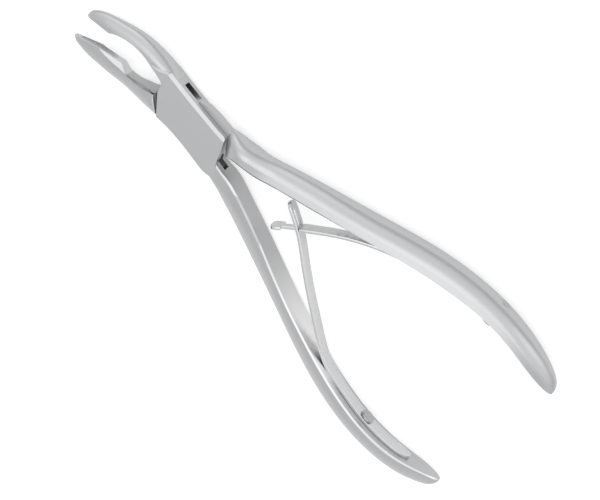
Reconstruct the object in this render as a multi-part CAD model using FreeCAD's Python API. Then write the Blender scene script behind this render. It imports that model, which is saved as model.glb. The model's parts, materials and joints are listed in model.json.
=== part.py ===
import FreeCAD, Part
import math
import os

os.makedirs("parts", exist_ok=True)
V = FreeCAD.Vector
ORIGIN = V(0, 0, 0)
UP = V(0, 0, 1)
ROUND = 0.552

# Drawn fully open round the pivot: Z along the pivot axis, X towards the jaws, Y towards the
# box half's handle. All lengths in mm. The finished solids move by PIVOT, so that the origin
# is at the middle of the lying instrument's underside.
PIVOT = V(37.6, 0.0, 4.79)

# Pivot travel
OPENING = 9.6
HALF = OPENING / 2
BITE_GAP = 0.10

# Box lock
BOX_HALF_T = 3.7
CUT_REACH = 20.0
TONGUE_HALF_T = 1.20
SLOT_CLEAR = 0.06
SLOT_HALF_T = TONGUE_HALF_T + SLOT_CLEAR
BOX_CHAMFER = 0.8
CHEEK_STEP = 0.45
PIN_R = 2.0
PIN_RUN_CLEAR = 0.03

# Bite line, drawn closed: the cutting edge's tip and its direction
BITE_TIP = V(39.6, 4.19, 0)
BITE_DEG = 18.4
BITE_LEN = 7.4

# Leaf springs
LEAF_T = 0.85
LEAF_W = 4.2
LEAF_SEAT = 0.08
LEAF_SLOT_W = 2.1
LEAF_SLOT_L = 6.6
LEAF_NECK_W = 1.7
LEAF_HEAD_L = 3.0
LEAF_NECK_END = 8.25
LEAF_TIP_ROUND = (2.2, 1.9)
LEAF_TAIL_ROUND = (5.0, 1.75)
LEAF_HEAD_ROUND = 1.4
LEAF_TAIL_X = -105.6
LEAF_LIFT_X = -72.0

# Spring screws
SCREW_X = -89.6
SCREW_HEAD_R = 2.05
SCREW_HEAD_H = 0.75
SCREW_SHANK_R = 1.25
SCREW_CLEAR = 0.05


# Small helpers
def turned(shape, deg):
    out = shape.copy()
    out.rotate(ORIGIN, UP, deg)
    return out


def curve(points):
    line = Part.BSplineCurve()
    line.interpolate([V(x, y, 0) for x, y in points])
    return line.toShape()


def polyline(points):
    ends = [V(x, y, 0) for x, y in points]
    return [Part.makeLine(a, b) for a, b in zip(ends[:-1], ends[1:])]


def plate(edges, low, high):
    face = Part.Face(Part.Wire(edges))
    face.translate(V(0, 0, low))
    return face.extrude(V(0, 0, high - low))


def polygon(points, low, high):
    return plate(polyline(points + [points[0]]), low, high)


def d_section(inner, outer, width, corner, full):
    # Flat inner face, two small bevels, flat sides and one rounded back
    root = V(inner[0], inner[1], 0)
    depth = V(outer[0] - inner[0], outer[1] - inner[1], 0)
    t = depth.Length
    depth.normalize()
    h = width / 2

    def at(n, z):
        return root + depth * n + V(0, 0, z)

    side = corner + (t - corner) * full
    lift = (t - side) * ROUND
    sides = []
    for sign in (1, -1):
        arc = Part.BezierCurve()
        arc.setPoles([at(side, h * sign), at(side + lift, h * sign), at(t, h * ROUND * sign), at(t, 0)])
        sides.append(arc.toShape())
    edges = [
        Part.makeLine(at(0, -h + corner), at(0, h - corner)),
        Part.makeLine(at(0, h - corner), at(corner, h)),
        Part.makeLine(at(corner, h), at(side, h)),
        sides[0],
        sides[1],
        Part.makeLine(at(side, -h), at(corner, -h)),
        Part.makeLine(at(corner, -h), at(0, -h + corner)),
    ]
    return Part.Wire(edges)


def d_bar(stations):
    return Part.makeLoft([d_section(*s) for s in stations], True, False)


def bite_point(s, offset=0.0):
    # s runs from the tip along the closed bite line, offset across it towards +Y
    a = math.radians(BITE_DEG)
    return (
        BITE_TIP.x - s * math.cos(a) - offset * math.sin(a),
        BITE_TIP.y - s * math.sin(a) + offset * math.cos(a),
    )


def hollow(stations, side):
    # Spoon hollow: rounded trough below the rim, side is +1 for the lower jaw
    rows = []
    for s, width, depth in stations:
        top = bite_point(s, -side * 0.25)
        low = bite_point(s, side * depth)
        rows.append((top, low, width, 0.02, 0.25))
    return d_bar(rows)


# Handles: inner face line with width, corner bevel and roundness, drawn for the +Y side
GRIP_LINE = [
    ((-20.0, 4.10), 8.6, 0.45, 0.36),
    ((-28.0, 6.90), 9.3, 0.45, 0.30),
    ((-42.0, 11.9), 9.5, 0.45, 0.30),
    ((-56.0, 16.95), 9.5, 0.45, 0.30),
    ((-71.0, 21.8), 9.5, 0.45, 0.30),
    ((-83.0, 24.5), 9.5, 0.45, 0.30),
    ((-94.0, 25.3), 9.3, 0.45, 0.30),
]
BOX_GRIP_END = [
    ((-102.0, 24.4), 8.5, 0.42, 0.28),
    ((-108.0, 22.75), 6.9, 0.38, 0.26),
    ((-111.8, 21.6), 5.0, 0.34, 0.24),
    ((-114.4, 21.0), 2.9, 0.30, 0.22),
    ((-115.4, 20.9), 1.5, 0.25, 0.22),
]
INNER_GRIP_END = [
    ((-102.0, 24.3), 8.5, 0.42, 0.28),
    ((-108.0, 23.2), 6.9, 0.38, 0.26),
    ((-111.8, 22.6), 5.0, 0.34, 0.24),
    ((-114.2, 22.4), 2.9, 0.30, 0.22),
    ((-115.2, 22.5), 1.5, 0.25, 0.22),
]
BOX_GRIP_T = [4.5, 4.6, 4.9, 5.35, 5.8, 5.9, 5.8, 5.75, 5.4, 4.6, 3.2, 1.6]
INNER_GRIP_T = [5.05, 5.3, 5.8, 6.1, 6.35, 6.05, 5.65, 5.65, 5.2, 4.3, 2.9, 1.5]
HANDLE_ROOT = [
    ((-6.0, 0.6), (-6.0, 5.45), 6.8, 0.30, 0.85),
    ((-10.6, 1.55), (-10.9, 6.45), 7.15, 0.35, 0.75),
    ((-15.0, 2.75), (-16.1, 7.45), 7.8, 0.40, 0.55),
]
KNUCKLE = [
    ((-10.6, 1.2), (-7.7, 7.1), 3.0, 0.30, 0.25),
    ((-12.6, 1.9), (-9.6, 7.95), 6.4, 0.40, 0.25),
    ((-14.9, 3.05), (-12.8, 8.3), 8.2, 0.45, 0.28),
]


def grip(line, thickness):
    # Each section's back point lies square to the inner face line
    stations = []
    for k, (p, width, corner, full) in enumerate(line):
        a = line[max(k - 1, 0)][0]
        b = line[min(k + 1, len(line) - 1)][0]
        run = V(b[0] - a[0], b[1] - a[1], 0)
        run.normalize()
        t = thickness[k]
        back = (p[0] + run.y * t, p[1] - run.x * t)
        stations.append((p, back, width, corner, full))
    return stations


BOX_HANDLE = grip(GRIP_LINE + BOX_GRIP_END, BOX_GRIP_T)
INNER_HANDLE = grip(GRIP_LINE + INNER_GRIP_END, INNER_GRIP_T)


def mirrored(stations):
    return [((a[0], -a[1]), (b[0], -b[1]), w, c, f) for a, b, w, c, f in stations]


# Box outline, drawn open
BOX_FRONT = [(13.05, -2.4), (12.6, -0.5), (11.9, 0.4), (8.4, 5.0)]
BOX_LOWER = [
    (8.4, 5.0),
    (3.6, 4.75),
    (-0.7, 4.95),
    (-4.5, 5.38),
    (-7.5, 5.78),
    (-10.0, 6.05),
    (-12.2, 5.80),
    (-13.8, 4.95),
]
BOX_REAR = [(-13.6, 3.0), (-11.6, 1.95), (-9.75, -2.8), (-8.65, -5.2), (-8.0, -5.45)]
BOX_UPPER = [(-8.0, -5.45), (-4.1, -5.6), (-0.4, -5.9), (3.1, -6.15), (8.0, -6.6), (13.4, -7.2)]
CHEEK_FRONT = [(13.4, -7.2), (15.0, -6.35), (16.5, -5.55), (17.8, -5.15), (19.0, -4.95)]
CHEEK_ARCH = [(19.0, -4.95), (16.9, -4.35), (15.2, -3.85), (14.0, -3.4), (13.05, -2.4)]
SLOT = [
    (8.3, -10.0),
    (9.0, -6.6),
    (12.9, -2.0),
    (20.0, 1.0),
    (14.0, 9.0),
    (-1.5, 9.0),
    (-1.5, 5.3),
    (-8.8, 2.6),
    (-11.0, 3.8),
    (-13.4, 4.0),
    (-14.5, 2.2),
    (-18.0, -10.0),
]

# Upper jaw, drawn closed: stations of the blank, then the arch that is cut from it
UPPER_JAW = [
    ((12.0, -0.6), (11.4, -6.4), 6.6, 0.45, 0.76),
    ((15.5, -0.9), (14.9, -6.9), 6.5, 0.45, 0.62),
    ((19.0, -1.2), (18.7, -6.95), 6.2, 0.30, 0.48),
    ((23.5, -1.1), (24.1, -6.35), 5.3, 0.12, 0.36),
    ((27.6, 0.24), (29.1, -4.85), 4.5, 0.08, 0.30),
    ((31.4, 1.50), (33.3, -2.85), 3.8, 0.07, 0.28),
    ((35.0, 2.70), (37.1, -0.80), 3.0, 0.06, 0.28),
    ((37.8, 3.62), (39.4, 1.15), 2.3, 0.06, 0.26),
    ((39.3, 4.13), (40.2, 2.80), 1.7, 0.05, 0.26),
    ((39.65, 4.25), (40.2, 3.75), 1.1, 0.05, 0.26),
]
UPPER_ARCH = [
    (32.3, 1.40),
    (31.2, 0.45),
    (28.2, -1.20),
    (25.0, -2.25),
    (22.0, -2.62),
    (19.0, -2.50),
    (16.0, -2.25),
    (13.3, -1.85),
]

# Lower jaw, drawn closed
LOWER_JAW = [
    ((8.0, -2.2), (7.3, 5.05), 7.2, 0.20, 0.60),
    ((12.0, -1.3), (11.6, 5.45), 7.2, 0.20, 0.50),
    ((15.8, -0.5), (15.5, 5.60), 6.3, 0.20, 0.38),
    ((20.0, -0.3), (19.6, 5.65), 4.8, 0.20, 0.32),
    ((24.5, -0.2), (23.6, 5.90), 4.4, 0.12, 0.30),
    ((28.6, 0.9), (27.2, 6.25), 4.1, 0.08, 0.28),
    ((32.0, 1.70), (30.9, 6.40), 3.4, 0.07, 0.28),
    ((35.3, 2.80), (34.5, 6.45), 2.75, 0.06, 0.28),
    ((37.8, 3.62), (37.4, 6.00), 2.2, 0.06, 0.26),
    ((39.4, 4.15), (39.1, 5.30), 1.6, 0.05, 0.26),
    ((39.75, 4.27), (39.7, 4.70), 1.1, 0.05, 0.26),
]
LOWER_TOP = [
    (25.0, 0.62),
    (24.1, 1.10),
    (23.0, 1.60),
    (22.0, 1.79),
    (20.9, 1.76),
    (19.15, 1.40),
    (16.9, 0.76),
    (15.2, 0.34),
    (13.7, -0.10),
    (12.0, -0.65),
]
# Bevels along both edges behind the nose: x, inner (y, z) and outer (y, z) of the bevel
LOWER_BEVEL = [
    (32.5, (1.6, 1.78), (1.9, 2.1)),
    (31.8, (1.66, 1.42), (2.25, 2.0)),
    (31.0, (1.55, 1.30), (2.35, 2.05)),
    (28.5, (1.15, 1.36), (2.15, 2.15)),
    (25.0, (0.62, 1.45), (2.0, 2.25)),
    (22.0, (1.7, 1.66), (2.05, 2.3)),
    (19.2, (1.4, 1.66), (1.8, 2.4)),
    (16.0, (0.5, 2.2), (1.0, 2.95)),
    (12.0, (-0.65, 2.65), (0.0, 3.4)),
]

UPPER_HOLLOW = [
    (0.55, 0.55, 0.25),
    (1.8, 1.15, 1.0),
    (4.5, 2.1, 1.7),
    (8.0, 2.8, 2.1),
    (11.5, 2.6, 2.2),
    (14.5, 1.6, 1.9),
]
LOWER_HOLLOW = [
    (0.55, 0.55, 0.25),
    (1.8, 1.15, 1.0),
    (4.5, 1.9, 1.6),
    (8.5, 2.15, 2.2),
    (12.0, 2.25, 2.4),
    (14.3, 1.6, 1.7),
]


# Box half: upper jaw, slotted box and handle in one piece
def upper_jaw():
    jaw = d_bar(UPPER_JAW)
    rim = bite_point(BITE_LEN)
    far = bite_point(-4.0)
    gap = BITE_GAP / 2
    below = [
        (rim[0], rim[1] - gap),
        (far[0], far[1] - gap),
        (44.0, 14.0),
        (8.0, 14.0),
        (8.0, -1.85),
        UPPER_ARCH[-1],
    ]
    arch = curve(UPPER_ARCH)
    edges = [arch] + polyline([UPPER_ARCH[-1], below[4], below[3], below[2], below[1], below[0]])
    edges += polyline([below[0], UPPER_ARCH[0]])
    jaw = jaw.cut(plate(edges, -6, 6))
    return jaw.cut(hollow(UPPER_HOLLOW, -1))


def box_block():
    edges = polyline(BOX_FRONT)
    edges.append(curve(BOX_LOWER))
    edges += polyline([BOX_LOWER[-1], BOX_REAR[0]])
    edges += polyline(BOX_REAR)
    edges.append(curve(BOX_UPPER))
    edges.append(curve(CHEEK_FRONT))
    edges.append(curve(CHEEK_ARCH))
    block = plate(edges, -BOX_HALF_T, BOX_HALF_T)
    top = []
    for e in block.Edges:
        b = e.BoundBox
        if b.ZLength < 0.01 and b.YMax < -5.3 and b.XLength > 10:
            top.append(e)
    block = block.makeChamfer(BOX_CHAMFER, top)
    for side in (1, -1):
        block = block.cut(front_wedge(side))
    return block


def front_wedge(side):
    # Slopes the cheek's front wall down to the jaw
    wires = []
    low = (-0.02, BOX_HALF_T - CHEEK_STEP - 0.02)
    high = (CHEEK_STEP + 0.02, BOX_HALF_T + 0.02)
    for back, z in (low, high):
        line = [(x - back * 0.3, y + back) for x, y in [(12.0, -8.2)] + CHEEK_FRONT + [(22.0, -5.0)]]
        front = curve(line)
        corners = [line[-1], (22.0, -12.0), (12.0, -12.0), line[0]]
        wire = Part.Wire([front] + polyline(corners))
        wire.translate(V(0, 0, z * side))
        wires.append(wire)
    return Part.makeLoft(wires, True, True)


def pin_hole(radius):
    return Part.makeCylinder(radius, CUT_REACH, V(0, 0, -CUT_REACH / 2))


def box_half():
    body = box_block()
    body = body.fuse(turned(upper_jaw(), -HALF))
    body = body.fuse(d_bar(HANDLE_ROOT + BOX_HANDLE))
    body = body.cut(polygon(SLOT, -SLOT_HALF_T, SLOT_HALF_T))
    body = body.cut(pin_hole(PIN_R))
    body = body.cut(screw_hole(1))
    return body.removeSplitter()


# Inner half: lower jaw, tongue and handle in one piece
TONGUE = [
    (-10.5, -7.4),
    (-7.7, -7.05),
    (-3.5, -7.35),
    (0.2, -7.3),
    (2.8, -6.6),
    (5.4, -5.0),
    (8.8, -2.4),
    (12.2, 0.2),
    (14.5, 1.4),
    (12.5, 5.6),
    (8.0, 5.5),
    (3.5, 4.6),
    (-1.8, 4.45),
    (-7.5, 1.3),
    (-12.3, -1.5),
    (-14.0, -3.4),
    (-13.0, -7.4),
]
FRONT_SHOULDER = [(13.43, -2.6), (13.43, -0.19), (12.62, 1.66), (11.84, 2.45), (7.4, 6.6)]
REAR_SHOULDER = [
    (220.8, 10.2),
    (211.0, 10.15),
    (205.7, 10.25),
    (196.0, 10.75),
    (190.8, 11.25),
    (181.0, 12.15),
    (174.0, 12.8),
]


def bevel_cut(line, side):
    # Three-cornered bar whose long side is the bevel's face, run past both of its edges
    wires = []
    for x, inner, outer in line:
        y_run = outer[0] - inner[0]
        z_run = outer[1] - inner[1]
        low = V(x, inner[0] - y_run, side * (inner[1] - z_run))
        high = V(x, outer[0] + y_run, side * (outer[1] + z_run))
        far = V(x, inner[0] - y_run - 1.0, side * (outer[1] + z_run + 1.0))
        wires.append(Part.makePolygon([low, high, far, low]))
    return Part.makeLoft(wires, True, False)


def lower_jaw():
    jaw = d_bar(LOWER_JAW)
    gap = BITE_GAP / 2
    corner = bite_point(BITE_LEN)
    far = bite_point(-4.0)
    above = polyline([
        LOWER_TOP[-1],
        (6.0, -0.9),
        (6.0, -9.0),
        (44.0, -9.0),
        (far[0], far[1] + gap),
        (corner[0], corner[1] + gap),
        LOWER_TOP[0],
    ])
    jaw = jaw.cut(plate([curve(LOWER_TOP)] + above, -6, 6))
    for side in (1, -1):
        jaw = jaw.cut(bevel_cut(LOWER_BEVEL, side))
    return jaw.cut(hollow(LOWER_HOLLOW, 1))


def shoulder_cut():
    # Room for the cheeks over the whole travel, on both sides of the tongue
    rear = []
    for deg, r in REAR_SHOULDER:
        a = math.radians(deg)
        rear.append((r * math.cos(a), r * math.sin(a)))
    outline = FRONT_SHOULDER + [(0.0, 9.0), (-12.8, 6.0)] + rear[::-1]
    outline += [(-6.0, -9.5), (6.0, -9.5)]
    upper = polygon(outline, TONGUE_HALF_T, 8)
    lower = polygon(outline, -8, -TONGUE_HALF_T)
    return upper.fuse(lower)


def inner_half():
    body = turned(lower_jaw(), HALF)
    body = body.fuse(d_bar(mirrored(KNUCKLE + INNER_HANDLE)))
    body = body.cut(shoulder_cut())
    body = body.fuse(polygon(TONGUE, -TONGUE_HALF_T, TONGUE_HALF_T))
    body = body.cut(pin_hole(PIN_R + PIN_RUN_CLEAR))
    body = body.cut(screw_hole(-1))
    return body.removeSplitter()


# Pin and screws
def joint_pin():
    return Part.makeCylinder(PIN_R, 2 * BOX_HALF_T, V(0, 0, -BOX_HALF_T))


# Seat of a spring leaf on a handle's inner face, both drawn on the +Y side
def handle_bar(side):
    return d_bar(HANDLE_ROOT + BOX_HANDLE if side > 0 else KNUCKLE + INNER_HANDLE)


def face_point(bar, x):
    ray = Part.makeLine(V(x, 0, 0), V(x, 60, 0))
    return min((v.Point for v in bar.common(ray).Vertexes), key=lambda q: q.y)


def seat_at(bar, x):
    p = face_point(bar, x)
    t = face_point(bar, x - 0.4) - face_point(bar, x + 0.4)
    t.normalize()
    return p, V(-t.y, t.x, 0) * (1 if t.x > 0 else -1) * -1


def screw_frame(side):
    return seat_at(handle_bar(side), SCREW_X)


def side_of(shape, side):
    if side > 0:
        return shape
    return shape.mirror(ORIGIN, V(0, 1, 0))


def screw_hole(side):
    p, out = screw_frame(side)
    shank = Part.makeCylinder(SCREW_SHANK_R + SCREW_CLEAR, CUT_REACH, p + out * 2, out * -1)
    return side_of(shank, side)


def spring_screw(side):
    p, out = screw_frame(side)
    top = LEAF_SEAT + LEAF_T + 2 * SCREW_CLEAR
    head = Part.makeCylinder(SCREW_HEAD_R, SCREW_HEAD_H, p + out * top, out)
    rim = [e for e in head.Edges if e.BoundBox.DiagonalLength > 3]
    crown = []
    for e in rim:
        c = e.CenterOfMass
        if (c - p).dot(out) > top + SCREW_HEAD_H * 0.9:
            crown.append(e)
    head = head.makeFillet(SCREW_HEAD_H * 0.6, crown[:1])
    shank = Part.makeCylinder(SCREW_SHANK_R, 12, p + out * (top + 0.1), out * -1)
    body = head.fuse(shank)
    handle = handle_bar(side)
    above = Part.makeCylinder(4, 8, p - out * 0.4, out)
    keep = handle.fuse(above)
    return side_of(body.common(keep).removeSplitter(), side)


# Leaf springs, drawn for each handle in the open position
LEAF_A = [
    (-68.2, 19.68),
    (-62.0, 15.6),
    (-54.0, 10.0),
    (-46.0, 3.9),
    (-40.6, -0.35),
    (-36.2, -3.1),
    (-32.0, -5.2),
]
LEAF_B = [
    (-67.4, 20.15),
    (-61.0, 17.75),
    (-54.2, 14.1),
    (-48.8, 10.35),
    (-43.8, 6.1),
    (-40.4, 2.9),
    (-37.2, -0.3),
    (-33.4, -4.1),
]


def leaf_line(side, free):
    bar = handle_bar(side)
    points = []
    for k in range(7):
        x = LEAF_TAIL_X + (LEAF_LIFT_X - LEAF_TAIL_X) * k / 6
        p, out = seat_at(bar, x)
        q = p + out * (LEAF_SEAT + LEAF_T / 2)
        points.append((q.x, q.y))
    return points + free


def leaf_plate(points, half_t):
    spline = Part.BSplineCurve()
    spline.interpolate([V(x, y, 0) for x, y in points])
    first = spline.FirstParameter
    last = spline.LastParameter
    near = []
    far = []
    count = 26
    for k in range(count + 1):
        u = first + (last - first) * k / count
        p = spline.value(u)
        t = spline.tangent(u)[0]
        n = V(-t.y, t.x, 0)
        a = p + n * half_t
        b = p - n * half_t
        near.append((a.x, a.y))
        far.append((b.x, b.y))
    edges = [curve(near), curve(far)]
    edges += polyline([near[0], far[0]])
    edges += polyline([near[-1], far[-1]])
    return Part.Face(Part.Wire(Part.sortEdges(edges)[0])), spline


def leaf_blank(points, width):
    face, spline = leaf_plate(points, LEAF_T / 2)
    face.translate(V(0, 0, -width / 2))
    return face.extrude(V(0, 0, width)), spline


def across(p, t, length, width, depth):
    # Block centred on p, length along t, width along Z, depth across the leaf
    box = Part.makeBox(length, depth, width, V(-length / 2, -depth / 2, -width / 2))
    box.rotate(ORIGIN, UP, math.degrees(math.atan2(t.y, t.x)))
    box.translate(p)
    return box


def outline_on(p, t, outline, depth):
    # Prism across the leaf from an outline in (along t, z)
    points = [V(a, -depth / 2, z) for a, z in outline]
    wire = Part.makePolygon(points + [points[0]])
    solid = Part.Face(wire).extrude(V(0, depth, 0))
    solid.rotate(ORIGIN, UP, math.degrees(math.atan2(t.y, t.x)))
    solid.translate(p)
    return solid


def end_point(spline, last):
    u = spline.LastParameter if last else spline.FirstParameter
    p = spline.value(u)
    t = spline.tangent(u)[0]
    if not last:
        t = t * -1
    return p, t


def rounded_end(blank, spline, last, reach, radius_z):
    # Trim the corners of a leaf's end to a rounded outline
    p, t = end_point(spline, last)
    h = LEAF_W / 2
    steps = 8
    arc = []
    for k in range(steps + 1):
        a = math.pi / 2 * k / steps
        arc.append((-reach + reach * math.sin(a), h - radius_z + radius_z * math.cos(a)))
    for sign in (1, -1):
        shape = [(1.0, h + 1.0), (-reach, h + 1.0)] + arc + [(1.0, h - radius_z)]
        outline = [(a, sign * z) for a, z in shape]
        blank = blank.cut(outline_on(p, t, outline, 4.0))
    return blank


def leaf_slotted():
    blank, spline = leaf_blank(leaf_line(1, LEAF_A), LEAF_W)
    blank = rounded_end(blank, spline, True, *LEAF_TIP_ROUND)
    blank = rounded_end(blank, spline, False, *LEAF_TAIL_ROUND)
    p = V(-37.2, -2.65, 0)
    t = V(-31.4 + 43.0, -5.7 - 1.4, 0)
    t.normalize()
    blank = blank.cut(across(p, t, LEAF_SLOT_L, LEAF_SLOT_W, 6.0))
    return blank.cut(leaf_screw_hole(1))


def leaf_headed():
    blank, spline = leaf_blank(leaf_line(-1, LEAF_B), LEAF_W)
    blank = rounded_end(blank, spline, False, *LEAF_TAIL_ROUND)
    blank = rounded_end(blank, spline, True, LEAF_HEAD_ROUND, LEAF_HEAD_ROUND)
    p, t = end_point(spline, True)
    h = LEAF_W / 2 + 1
    n = LEAF_NECK_W / 2
    for sign in (1, -1):
        outline = [
            (-LEAF_HEAD_L - 0.2, sign * h),
            (-LEAF_HEAD_L, sign * n),
            (-LEAF_NECK_END, sign * n),
            (-LEAF_NECK_END - 0.2, sign * (n + 0.2)),
            (-LEAF_NECK_END - 0.2, sign * h),
        ]
        blank = blank.cut(outline_on(p, t, outline, 4.0))
    return side_of(blank.cut(leaf_screw_hole(-1)), -1)


def leaf_screw_hole(side):
    p, out = screw_frame(side)
    return Part.makeCylinder(SCREW_SHANK_R + SCREW_CLEAR, 8, p + out * 4, out * -1)


NODES = {
    "box_half": box_half,
    "inner_half": inner_half,
    "joint_pin": joint_pin,
    "leaf_slotted": leaf_slotted,
    "leaf_headed": leaf_headed,
    "screw_slotted_leaf": lambda: spring_screw(1),
    "screw_headed_leaf": lambda: spring_screw(-1),
}

for name, make in NODES.items():
    shape = make()
    shape.translate(PIVOT)
    print(name, "solids", len(shape.Solids), "valid", shape.isValid(), "volume %.1f" % shape.Volume)
    shape.exportStep("parts/%s.step" % name)
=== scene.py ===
import json
import math

import bmesh
import bpy
from mathutils import Matrix, Vector
from mathutils.bvhtree import BVHTree


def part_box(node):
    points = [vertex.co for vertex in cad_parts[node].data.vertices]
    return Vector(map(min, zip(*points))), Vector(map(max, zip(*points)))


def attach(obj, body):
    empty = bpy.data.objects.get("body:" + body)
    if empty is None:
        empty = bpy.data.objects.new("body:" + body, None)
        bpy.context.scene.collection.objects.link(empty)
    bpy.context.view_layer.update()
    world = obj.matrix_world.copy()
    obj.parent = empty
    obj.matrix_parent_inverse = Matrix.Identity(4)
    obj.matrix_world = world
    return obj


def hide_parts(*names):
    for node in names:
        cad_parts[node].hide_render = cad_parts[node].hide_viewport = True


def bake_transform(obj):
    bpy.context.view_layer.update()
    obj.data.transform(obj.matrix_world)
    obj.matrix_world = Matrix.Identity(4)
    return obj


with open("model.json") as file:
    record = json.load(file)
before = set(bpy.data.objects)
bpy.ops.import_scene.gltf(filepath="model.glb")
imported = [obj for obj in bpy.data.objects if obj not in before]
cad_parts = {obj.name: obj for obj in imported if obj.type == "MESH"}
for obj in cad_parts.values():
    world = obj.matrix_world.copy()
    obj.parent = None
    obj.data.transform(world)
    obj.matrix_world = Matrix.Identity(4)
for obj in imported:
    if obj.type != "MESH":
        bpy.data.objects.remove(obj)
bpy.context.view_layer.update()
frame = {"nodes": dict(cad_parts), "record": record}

MM = 0.001

# The joints and bodies that the frame names
joints = {j["name"]: j for j in frame["record"]["behaviour"]["joints"]}
PIVOT = Vector(joints["pivot"]["pos_m"])

# Camera: how far the instrument is tilted towards it, how it is turned in the picture, and how
# far away it stands, all measured from the pivot
TILT = math.radians(31.5)
TURN_IN_PICTURE = math.radians(42.9)
BISECTOR = math.radians(-4.37)
VIEW_DISTANCE = 494.7 * MM
PICTURE_WIDTH = 158.7 * MM
SENSOR_MM = 36.0
PIVOT_RIGHT_OF_CENTRE = -27.78 * MM
PIVOT_ABOVE_CENTRE = 33.33 * MM

# Studio
SKY = 0.95
PAPER = 0.74
PAPER_LIFT = 0.50
PAPER_IN_STEEL = 0.5

# Soft windows in the tent: direction, inner and outer radius in degrees, brightness
WINDOWS = (
    ((-0.48, -0.72, 0.50), 8.0, 18.0, 1.5),
    ((-0.04, 0.56, 0.83), 8.0, 15.0, 0.75),
    ((0.10, 0.12, 0.99), 14.0, 22.0, 1.34),
)

# Jaws: tip of the closed bite from the pivot, slope of the bite, and how far each jaw is open
BITE_TIP = Vector((39.6, 4.19, 0.0)) * MM
BITE_ANGLE = 18.4
BITE_LENGTH = 17.5 * MM
BITE_RIM = 0.12 * MM
HALF_OPEN = 4.8

# Handles, measured back from the pivot
HANDLE_SLICE = 2.0 * MM
BOX_FRONT = 13.5 * MM
SHOULDER_START = 8.0 * MM
SHOULDER_REACH = 20.0 * MM
SHOULDER_EDGE = 0.50 * MM

# Where a face counts as a slanting bevel, by its normal; these faces get a brighter steel as a painted
# highlight
BEVEL_TILT = (0.5, 0.87)
BEVEL_FACING = 0.4
BOX_BEVEL_TURN = 0.12
HANDLE_ROOT = 12.0 * MM
HANDLE_FULL = 27.0 * MM
WAIST_NARROWS = (15.0 * MM, 25.0 * MM)
WAIST_SHIFTS = (12.0 * MM, 18.0 * MM)
WAIST_FADES = (27.0 * MM, 54.0 * MM)
WAISTS = {
    "box_half": {"narrower": 0.17, "inwards": 0.98 * MM, "outwards": 0.65 * MM},
    "inner_half": {"narrower": 0.20, "inwards": 0.30 * MM, "outwards": 0.60 * MM},
}
FLANK_TAPER = 0.20
# Where the painted highlight on the box handle's inner face beside the leaf fades in and out
PAINTED_SHEEN_STARTS = (36.0 * MM, 62.0 * MM)
PAINTED_SHEEN_ENDS = (66.0 * MM, 82.0 * MM)

# Leaf springs
LEAF_SLICE = 1.0 * MM
LEAF_EDGE = 0.09 * MM


class Value:
    """A number socket in a material, so that shader maths reads as arithmetic."""

    def __init__(self, shop, socket):
        self.shop = shop
        self.socket = socket

    def maths(self, operation, *others, clamp=False):
        inputs = [self, *others]
        return self.shop.add("ShaderNodeMath", {"operation": operation, "use_clamp": clamp}, inputs)

    def __add__(self, other):
        return self.maths("ADD", other)

    __radd__ = __add__

    def __sub__(self, other):
        return self.maths("SUBTRACT", other)

    def __rsub__(self, other):
        return self.shop.value(other).maths("SUBTRACT", self)

    def __mul__(self, other):
        return self.maths("MULTIPLY", other)

    __rmul__ = __mul__

    def clamped(self):
        return self.maths("ADD", 0.0, clamp=True)


class Shop:
    """Adds nodes to one material or to the world."""

    def __init__(self, tree):
        self.tree = tree

    def value(self, number):
        node = self.tree.nodes.new("ShaderNodeValue")
        node.outputs[0].default_value = number
        return Value(self, node.outputs[0])

    def put(self, socket, value):
        if isinstance(value, Value):
            value = value.socket
        if isinstance(value, bpy.types.NodeSocket):
            self.tree.links.new(value, socket)
        else:
            socket.default_value = value

    def add(self, kind, settings=None, inputs=(), output=0):
        node = self.tree.nodes.new(kind)
        for name, setting in (settings or {}).items():
            if name == "stops":
                self.stops(node.color_ramp, setting)
            else:
                setattr(node, name, setting)
        pairs = inputs.items() if isinstance(inputs, dict) else enumerate(inputs)
        for name, value in pairs:
            self.put(node.inputs[name], value)
        return Value(self, node.outputs[output])

    def stops(self, ramp, stops):
        while len(ramp.elements) < len(stops):
            ramp.elements.new(0.5)
        for element, (place, colour) in zip(ramp.elements, stops):
            element.position = place
            element.color = (*colour, 1.0)


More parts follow.
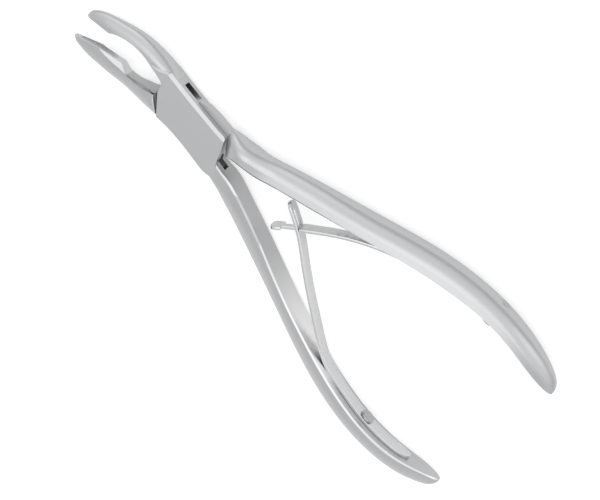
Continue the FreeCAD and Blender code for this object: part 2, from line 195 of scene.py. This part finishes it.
def steel(name, tone, roughness, line_axis, line_depth):
    """Satin stainless steel: a fine bead-blasted grain, faint grinding lines and a slow change
    of tone along the piece."""
    material = bpy.data.materials.new(name)
    material.use_nodes = True
    tree = material.node_tree
    tree.nodes.clear()
    shop = Shop(tree)
    place = shop.add("ShaderNodeTexCoord", output="Object")
    stretch = [900.0, 900.0, 900.0]
    stretch[line_axis] = 40.0
    along = shop.add("ShaderNodeMapping", {}, {"Vector": place, "Scale": stretch})
    lines = shop.add(
        "ShaderNodeTexNoise", {}, {"Vector": along, "Scale": 3.0, "Detail": 4.0, "Roughness": 0.6}
    )
    grain = shop.add(
        "ShaderNodeTexNoise", {}, {"Vector": place, "Scale": 5200.0, "Detail": 2.0, "Roughness": 0.7}
    )
    drift = shop.add(
        "ShaderNodeTexNoise", {}, {"Vector": place, "Scale": 90.0, "Detail": 2.0, "Roughness": 0.5}
    )
    shade = (lines - 0.5) * 0.05 + (drift - 0.5) * 0.05 + 1.0
    colour = shop.add(
        "ShaderNodeMix",
        {"data_type": "RGBA"},
        {"Factor": shade - 0.95, "A": (tone * 0.96, tone * 0.965, tone * 0.97, 1.0),
         "B": (tone * 1.04, tone * 1.04, tone * 1.035, 1.0)},
        output=2,
    )
    # Painted highlight: the attribute read here mixes the steel towards near white on the box handle's
    # inner face.
    wear = shop.add("ShaderNodeAttribute", {"attribute_name": "wear"}, output="Fac")
    colour = shop.add(
        "ShaderNodeMix", {"data_type": "RGBA"},
        {"Factor": wear, "A": colour, "B": (0.97, 0.97, 0.965, 1.0)}, output=2,
    )
    rough = (lines - 0.5) * 0.12 + (drift - 0.5) * 0.06 + roughness
    height = lines * line_depth + grain * 0.35
    bump = shop.add("ShaderNodeBump", {}, {"Strength": 0.12, "Distance": 0.00002, "Height": height})
    surface = tree.nodes.new("ShaderNodeBsdfPrincipled")
    surface.inputs["Metallic"].default_value = 1.0
    shop.put(surface.inputs["Base Color"], colour)
    shop.put(surface.inputs["Roughness"], rough)
    shop.put(surface.inputs["Normal"], bump)
    out = tree.nodes.new("ShaderNodeOutputMaterial")
    tree.links.new(surface.outputs[0], out.inputs[0])
    return material


def dress(node, material):
    piece = frame["nodes"][node]
    piece.data.materials.clear()
    piece.data.materials.append(material)


def smooth_step(value, low, high):
    t = min(max((value - low) / (high - low), 0.0), 1.0)
    return t * t * (3.0 - 2.0 * t)


class HandleShape:
    """How a forged handle differs from the plain bar of the frame: its flanks taper towards the
    rounded back, and near the box it is narrower and deeper."""

    def __init__(self, bm, node, side):
        self.side = side
        self.waist = WAISTS[node]
        self.rows = {}
        for vert in bm.verts:
            back = PIVOT.x - vert.co.x
            number = round((back - HANDLE_ROOT) / HANDLE_SLICE)
            on_slice = abs(back - HANDLE_ROOT - number * HANDLE_SLICE) < 0.001 * MM
            if number >= 0 and on_slice:
                reach = (vert.co.y - PIVOT.y) * side
                row = self.rows.setdefault(number, [reach, reach])
                row[0] = min(row[0], reach)
                row[1] = max(row[1], reach)

    def edges(self, back):
        place = (back - HANDLE_ROOT) / HANDLE_SLICE
        low = min(int(place), max(self.rows))
        high = min(low + 1, max(self.rows))
        share = min(max(place - low, 0.0), 1.0)
        return [a + (b - a) * share for a, b in zip(self.rows[low], self.rows[high])]

    def moved(self, point):
        back = PIVOT.x - point.x
        if back <= HANDLE_ROOT:
            return point.copy()
        inner, outer = self.edges(back)
        reach = (point.y - PIVOT.y) * self.side
        depth = min(max((reach - inner) / max(outer - inner, MM), 0.0), 1.0)
        taper = FLANK_TAPER * depth * smooth_step(back, HANDLE_ROOT, HANDLE_FULL)
        fade = 1.0 - smooth_step(back, *WAIST_FADES)
        narrows = self.waist["narrower"] * smooth_step(back, *WAIST_NARROWS) * fade
        shifts = smooth_step(back, *WAIST_SHIFTS) * fade
        height = (point.z - PIVOT.z) * (1.0 - taper) * (1.0 - narrows)
        inwards, outwards = self.waist["inwards"], self.waist["outwards"]
        reach += shifts * (depth * (inwards + outwards) - inwards)
        return Vector((point.x, PIVOT.y + reach * self.side, PIVOT.z + height))

    def turned(self, point, normal):
        """The normal at a point after the shape is moved, from two steps along the surface."""
        step = 0.02 * MM
        first = normal.orthogonal().normalized()
        second = normal.cross(first)
        here = self.moved(point)
        along = self.moved(point + first * step) - here
        across = self.moved(point + second * step) - here
        return along.cross(across).normalized()


def surface_normals(source, mesh):
    """Each corner's smooth normal, read from the frame's own mesh just inside that corner."""
    points = [v.co.copy() for v in source.vertices]
    triangles = [tuple(p.vertices) for p in source.polygons]
    loops = [tuple(p.loop_indices) for p in source.polygons]
    normals = [Vector(c.vector) for c in source.corner_normals]
    tree = BVHTree.FromPolygons(points, triangles)
    found = []
    for face in mesh.polygons:
        centre = face.center
        for index in face.vertices:
            corner = mesh.vertices[index].co
            spot, flat, hit, gap = tree.find_nearest(corner + (centre - corner) * 0.05)
            a, b, c = (points[i] for i in triangles[hit])
            area = (b - a).cross(c - a)
            size = max(area.length_squared, 1e-30)
            u = (c - b).cross(spot - b).dot(area) / size
            v = (a - c).cross(spot - c).dot(area) / size
            w = 1.0 - u - v
            na, nb, nc = (normals[i] for i in loops[hit])
            normal = (na * u + nb * v + nc * w).normalized()
            found.append(normal if normal.dot(face.normal) > 0.85 else face.normal.copy())
    return found


def is_painted_highlight_edge(centre, normal, side):
    """The narrow bevels that run along a handle's inner face and along the box, and the bevelled shoulder,
    which get a brighter steel as a painted highlight.
    """
    tilted = BEVEL_TILT[0] < abs(normal.z) < BEVEL_TILT[1]
    slanting = tilted and -normal.y * side > BEVEL_FACING
    behind = centre.x < PIVOT.x - (HANDLE_ROOT if side > 0 else HANDLE_FULL)
    straight = side > 0 and abs(normal.x) < BOX_BEVEL_TURN
    along_box = straight and centre.x < PIVOT.x + BOX_FRONT
    near = SHOULDER_START < (centre.x - PIVOT.x) * -side < SHOULDER_REACH
    shoulder = near and normal.x < -0.4 and normal.z > 0.5 and abs(centre.y - PIVOT.y) < HANDLE_ROOT
    return (slanting and (behind or along_box)) or shoulder


def rubbed_shoulder(bm, side):
    """Takes the sharp top edge off the inner half's front shoulder or the box's rear end, as far
    as the neighbouring edges leave room, which is very little on the box."""
    edges = []
    for edge in bm.edges:
        middle = (edge.verts[0].co + edge.verts[1].co) / 2 - PIVOT
        near = SHOULDER_START < middle.x * -side < SHOULDER_REACH and middle.z > 0
        if not near or len(edge.link_faces) != 2:
            continue
        walls = sorted((face.normal for face in edge.link_faces), key=lambda n: n.z)
        if walls[1].z > 0.9 and abs(walls[0].z) < 0.3 and walls[0].x < -0.4:
            edges.append(edge)
    bmesh.ops.bevel(
        bm, geom=edges, offset=SHOULDER_EDGE, offset_type="OFFSET", affect="EDGES", segments=1,
        profile=0.5, material=-1, clamp_overlap=True,
    )


def is_cup(centre, normal, jaw):
    """The ground hollow of a jaw, between its rims, whose faces get a brighter steel as painted light
    against the shade inside it; jaw is 1 for the lower and -1 for the upper.
    """
    opened = Matrix.Rotation(math.radians(HALF_OPEN * jaw), 3, "Z")
    angle = math.radians(BITE_ANGLE + HALF_OPEN * jaw)
    from_tip = centre - PIVOT - opened @ BITE_TIP
    along = -from_tip.x * math.cos(angle) - from_tip.y * math.sin(angle)
    deep = (from_tip.y * math.cos(angle) - from_tip.x * math.sin(angle)) * jaw
    facing = (normal.x * math.sin(angle) - normal.y * math.cos(angle)) * jaw
    return 0.0 < along < BITE_LENGTH and deep > BITE_RIM and facing > 0.1


def add_painted_sheen(mesh, side):
    """Brightens the handle's inner face beside the leaf, from 0 to 1 at each corner. This was set
    against the light, and stands for no wearing of the steel that could be seen."""
    # A painted highlight, not a worn spot, from 0 to 1 at each corner
    wear = mesh.attributes.new("wear", "FLOAT", "CORNER")
    for face in mesh.polygons:
        if face.normal.y * side > -0.3 or abs(face.normal.z) > 0.3:
            continue
        for loop in face.loop_indices:
            corner = mesh.vertices[mesh.loops[loop].vertex_index].co
            back = PIVOT.x - corner.x
            sheen_level = smooth_step(back, *PAINTED_SHEEN_STARTS) * (1.0 - smooth_step(back, *PAINTED_SHEEN_ENDS))
            wear.data[loop].value = sheen_level


def forged_half(node, side, materials):
    """The half as one merged skin, with its handle drawn to the forging's section."""
    source = frame["nodes"][node].data
    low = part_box(node)[0]
    mesh = source.copy()
    piece = bpy.data.objects.new(node + "_forging", mesh)
    bpy.context.collection.objects.link(piece)
    for name in ("custom_normal", "sharp_edge", "sharp_face"):
        if name in mesh.attributes:
            mesh.attributes.remove(mesh.attributes[name])
    bm = bmesh.new()
    bm.from_mesh(mesh)
    bmesh.ops.remove_doubles(bm, verts=bm.verts, dist=0.001 * MM)
    rubbed_shoulder(bm, side)
    x = PIVOT.x - HANDLE_ROOT
    while x > low.x:
        bmesh.ops.bisect_plane(
            bm, geom=bm.verts[:] + bm.edges[:] + bm.faces[:], dist=0.0005 * MM,
            plane_co=(x, 0, 0), plane_no=(1, 0, 0),
        )
        x -= HANDLE_SLICE
    shape = HandleShape(bm, node, side)
    bm.to_mesh(mesh)
    bm.free()
    normals = surface_normals(source, mesh)
    corners = [mesh.vertices[i].co.copy() for face in mesh.polygons for i in face.vertices]
    normals = [shape.turned(point, normal) for point, normal in zip(corners, normals)]
    for vert in mesh.vertices:
        vert.co = shape.moved(vert.co)
    for face in mesh.polygons:
        face.use_smooth = True
    mesh.normals_split_custom_set(normals)
    # Only the box half gets the painted highlight on its inner face.
    if side > 0:
        add_painted_sheen(mesh, side)
    mesh.materials.clear()
    for material in materials:
        mesh.materials.append(material)
    # Slanting bevels and the shoulder take the second steel as a painted highlight.
    for face in mesh.polygons:
        if is_painted_highlight_edge(face.center, face.normal, side):
            face.material_index = 1
        # The jaws' hollows take the brighter third steel as painted light against their shade.
        elif is_cup(face.center, face.normal, -side):
            face.material_index = 2
    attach(piece, node)
    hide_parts(node)


def sliced_leaf(node, material):
    """The leaf as solid sheet, cut across every millimetre and with its edges rounded; the cuts
    would let it bend, but nothing here bends it."""
    low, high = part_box(node)
    mesh = frame["nodes"][node].data.copy()
    piece = bpy.data.objects.new(node + "_spring", mesh)
    bpy.context.collection.objects.link(piece)
    for name in ("custom_normal", "sharp_edge", "sharp_face"):
        if name in mesh.attributes:
            mesh.attributes.remove(mesh.attributes[name])
    bm = bmesh.new()
    bm.from_mesh(mesh)
    bmesh.ops.remove_doubles(bm, verts=bm.verts, dist=0.002 * MM)
    bmesh.ops.dissolve_limit(
        bm, angle_limit=math.radians(0.4), use_dissolve_boundaries=False,
        verts=bm.verts, edges=bm.edges, delimit={"NORMAL"},
    )
    x = low.x + LEAF_SLICE
    while x < high.x:
        bmesh.ops.bisect_plane(
            bm, geom=bm.verts[:] + bm.edges[:] + bm.faces[:], dist=0.0005 * MM,
            plane_co=(x, 0, 0), plane_no=(1, 0, 0),
        )
        x += LEAF_SLICE
    sharp = [e for e in bm.edges if len(e.link_faces) == 2 and e.calc_face_angle() > math.radians(50)]
    bmesh.ops.bevel(
        bm, geom=sharp, offset=LEAF_EDGE, offset_type="OFFSET", affect="EDGES", segments=2,
        profile=0.5, material=-1, clamp_overlap=True,
    )
    bmesh.ops.recalc_face_normals(bm, faces=bm.faces)
    bm.to_mesh(mesh)
    bm.free()
    mesh.materials.clear()
    mesh.materials.append(material)
    mesh.set_sharp_from_angle(angle=math.radians(40))
    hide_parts(node)
    return piece


def bend(piece):
    """Bakes the leaf's placement into its mesh; the free length is not bent away from the handle."""
    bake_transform(piece)


def picture_axes():
    """Right, up and towards the camera, for the photograph's view."""
    along = Vector((-math.cos(BISECTOR), math.sin(BISECTOR), 0))
    across = Vector((-math.sin(BISECTOR), -math.cos(BISECTOR), 0))
    up = Vector((0, 0, 1))
    towards = across * math.sin(TILT) + up * math.cos(TILT)
    level = across * math.cos(TILT) - up * math.sin(TILT)
    turn = TURN_IN_PICTURE
    right = along * math.cos(turn) + level * math.sin(turn)
    upward = level * math.cos(turn) - along * math.sin(turn)
    return right, upward, towards


def camera():
    right, upward, towards = picture_axes()
    target = PIVOT - right * PIVOT_RIGHT_OF_CENTRE - upward * PIVOT_ABOVE_CENTRE
    data = bpy.data.cameras.new("camera")
    data.sensor_width = SENSOR_MM
    data.lens = SENSOR_MM * VIEW_DISTANCE / PICTURE_WIDTH
    data.clip_start = 0.01
    data.clip_end = 10.0
    piece = bpy.data.objects.new("camera", data)
    turned = Matrix((right, upward, towards)).transposed().to_4x4()
    piece.matrix_world = Matrix.Translation(target + towards * VIEW_DISTANCE) @ turned
    bpy.context.collection.objects.link(piece)
    bpy.context.scene.camera = piece


def softbox(name, place, size, watts):
    data = bpy.data.lights.new(name, "AREA")
    data.shape = "RECTANGLE"
    data.size, data.size_y = size
    data.energy = watts
    piece = bpy.data.objects.new(name, data)
    bpy.context.collection.objects.link(piece)
    facing = (place - PIVOT).to_track_quat("Z", "Y").to_matrix().to_4x4()
    piece.matrix_world = Matrix.Translation(place) @ facing


def floor():
    bm = bmesh.new()
    bmesh.ops.create_grid(bm, x_segments=1, y_segments=1, size=2.0)
    mesh = bpy.data.meshes.new("floor")
    bm.to_mesh(mesh)
    bm.free()
    piece = bpy.data.objects.new("floor", mesh)
    bpy.context.collection.objects.link(piece)
    mesh.transform(Matrix.Translation((0, 0, -0.02 * MM)))
    material = bpy.data.materials.new("floor_paper")
    material.use_nodes = True
    tree = material.node_tree
    tree.nodes.clear()
    shop = Shop(tree)
    rays = tree.nodes.new("ShaderNodeLightPath")
    glossy = Value(shop, rays.outputs["Is Glossy Ray"])
    seen = glossy * PAPER_IN_STEEL + Value(shop, rays.outputs["Is Camera Ray"])
    surface = tree.nodes.new("ShaderNodeBsdfPrincipled")
    surface.inputs["Base Color"].default_value = (PAPER, PAPER, PAPER, 1.0)
    surface.inputs["Roughness"].default_value = 0.9
    surface.inputs["Specular IOR Level"].default_value = 0.1
    surface.inputs["Emission Color"].default_value = (1.0, 1.0, 1.0, 1.0)
    lit = tree.nodes.new("ShaderNodeBsdfPrincipled")
    lit.inputs["Base Color"].default_value = (PAPER, PAPER, PAPER, 1.0)
    lit.inputs["Roughness"].default_value = 0.9
    lit.inputs["Specular IOR Level"].default_value = 0.1
    lit.inputs["Emission Color"].default_value = (1.0, 1.0, 1.0, 1.0)
    lit.inputs["Emission Strength"].default_value = PAPER_LIFT
    mix = tree.nodes.new("ShaderNodeMixShader")
    shop.put(mix.inputs[0], seen.clamped())
    tree.links.new(surface.outputs[0], mix.inputs[1])
    tree.links.new(lit.outputs[0], mix.inputs[2])
    out = tree.nodes.new("ShaderNodeOutputMaterial")
    tree.links.new(mix.outputs[0], out.inputs[0])
    mesh.materials.append(material)


def studio():
    """A soft tent: brightest overhead, greyer behind the instrument and low in front of it."""
    world = bpy.data.worlds.new("studio")
    bpy.context.scene.world = world
    world.use_nodes = True
    tree = world.node_tree
    tree.nodes.clear()
    shop = Shop(tree)
    place = shop.add("ShaderNodeTexCoord", output="Generated")
    split = tree.nodes.new("ShaderNodeSeparateXYZ")
    shop.put(split.inputs[0], place)
    sideways = Value(shop, split.outputs[0])
    back = Value(shop, split.outputs[1])
    height = Value(shop, split.outputs[2])
    front_sky = shop.add(
        "ShaderNodeValToRGB",
        {"stops": [(0.0, grey(0.52)), (0.22, grey(0.70)), (0.45, grey(1.02)), (0.85, grey(1.10)),
                   (1.0, grey(1.14))]},
        [height],
    )
    back_sky = shop.add(
        "ShaderNodeValToRGB",
        {"stops": [(0.0, grey(0.97)), (0.5, grey(0.94)), (0.74, grey(0.78)), (0.86, grey(0.80)),
                   (0.95, grey(1.12)), (1.0, grey(1.14))]},
        [height],
    )
    behind = (back * 2.5 + 0.5).clamped()
    sky = shop.add(
        "ShaderNodeMix", {"data_type": "RGBA"}, {"Factor": behind, "A": front_sky, "B": back_sky},
        output=2,
    )
    low_left = ((sideways * -1.0 - 0.45) * 2.0 - height).clamped()
    sky = shop.add(
        "ShaderNodeMix", {"data_type": "RGBA"}, {"Factor": low_left * 0.6, "A": sky, "B": (*grey(0.72), 1)},
        output=2,
    )
    for direction, inner, outer, level in WINDOWS:
        towards = shop.add(
            "ShaderNodeVectorMath", {"operation": "DOT_PRODUCT"}, [place, direction], output=1
        )
        inside, outside = (math.cos(math.radians(angle)) for angle in (inner, outer))
        seen = ((towards - outside) * (1.0 / (inside - outside))).clamped()
        sky = shop.add(
            "ShaderNodeMix", {"data_type": "RGBA"}, {"Factor": seen, "A": sky, "B": (*grey(level), 1)},
            output=2,
        )
    light = tree.nodes.new("ShaderNodeBackground")
    shop.put(light.inputs["Color"], sky)
    light.inputs["Strength"].default_value = SKY
    out = tree.nodes.new("ShaderNodeOutputWorld")
    tree.links.new(light.outputs[0], out.inputs[0])


def grey(level):
    return level, level, level * 1.01


ALONG, ACROSS = 0, 1
forged = steel("satin_forged_steel", 0.57, 0.30, ALONG, 0.5)
# A brighter copy of the forged steel: a painted highlight on the slanting bevels and the shoulder.
painted_highlight_steel = steel("painted_highlight_bright_steel", 0.82, 0.24, ALONG, 0.3)
# A brighter steel for the jaws' hollows: painted light that lifts the shade inside them.
painted_light_cup_steel = steel("cup_painted_bright_steel", 0.76, 0.36, ACROSS, 0.3)
spring = steel("satin_spring_steel", 0.71, 0.26, ALONG, 0.7)
turned_steel = steel("turned_screw_steel", 0.49, 0.28, ACROSS, 0.3)

forged_half("box_half", 1, (forged, painted_highlight_steel, painted_light_cup_steel))
forged_half("inner_half", -1, (forged, painted_highlight_steel, painted_light_cup_steel))
dress("joint_pin", forged)
for node in ("screw_slotted_leaf", "screw_headed_leaf"):
    dress(node, turned_steel)

slotted = sliced_leaf("leaf_slotted", spring)
headed = sliced_leaf("leaf_headed", spring)
bend(slotted)
bend(headed)

bpy.context.scene.view_settings.view_transform = "Standard"
floor()
studio()
camera()
softbox("softbox_over", PIVOT + Vector((-0.05, -0.05, 0.7)), (0.5, 0.5), 0.25)
softbox("softbox_side", PIVOT + Vector((0.5, -0.5, 0.4)), (0.4, 0.4), 0.2)
